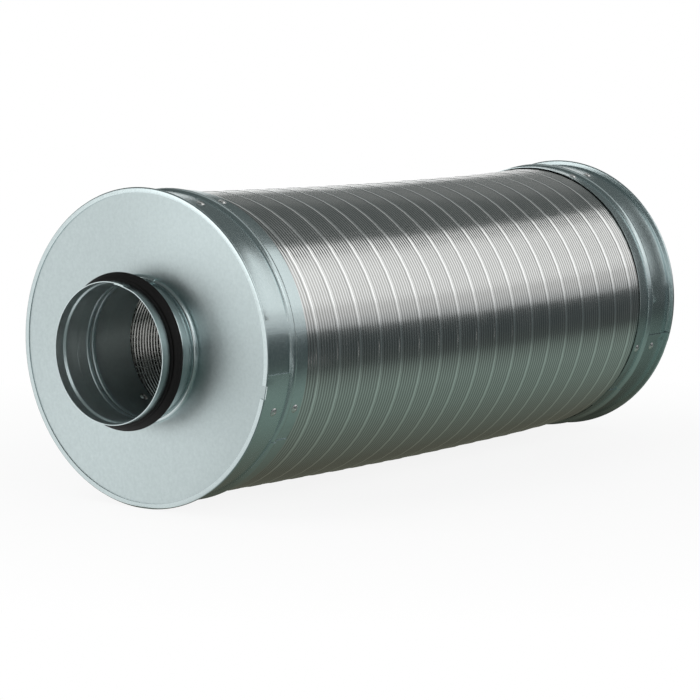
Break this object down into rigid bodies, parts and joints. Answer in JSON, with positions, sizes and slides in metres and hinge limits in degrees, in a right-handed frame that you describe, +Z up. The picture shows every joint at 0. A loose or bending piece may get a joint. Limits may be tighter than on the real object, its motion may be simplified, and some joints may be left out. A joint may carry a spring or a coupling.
{
  "type": "duct sound attenuator",
  "caption": "Round duct silencer: corrugated aluminium casing filled with mineral wool around a perforated inner duct, with galvanised end caps and sealed spigots.",
  "frame": {"origin": "middle of the body, on the duct axis", "axes": "+X along the duct axis from the front spigot to the rear spigot, +Z up as it lies in the picture"},
  "size_m": [0.6058, 0.2244, 0.2244],
  "materials": {
    "galvanised_steel": "satin zinc, fine rolled grain",
    "corrugated_aluminium": "mill finish, finely ribbed",
    "rivet_aluminium": "smooth",
    "seal_rubber": "matt black",
    "mineral_wool": "fibrous",
    "fleece": "matt non-woven"
  },
  "bodies": {
    "root": {"outer_casing": "corrugated_aluminium", "mineral_wool": "mineral_wool", "fleece_wrap": "fleece", "inner_duct": "corrugated_aluminium", "front_end_plate": "galvanised_steel", "front_band": "galvanised_steel", "front_spigot": "galvanised_steel", "front_seal": "seal_rubber", "front_band_rivets": "rivet_aluminium", "front_casing_rivets": "rivet_aluminium", "front_spigot_rivets": "rivet_aluminium", "rear_end_plate": "galvanised_steel", "rear_band": "galvanised_steel", "rear_spigot": "galvanised_steel", "rear_seal": "seal_rubber", "rear_band_rivets": "rivet_aluminium", "rear_casing_rivets": "rivet_aluminium", "rear_spigot_rivets": "rivet_aluminium"}
  },
  "joints": []
}
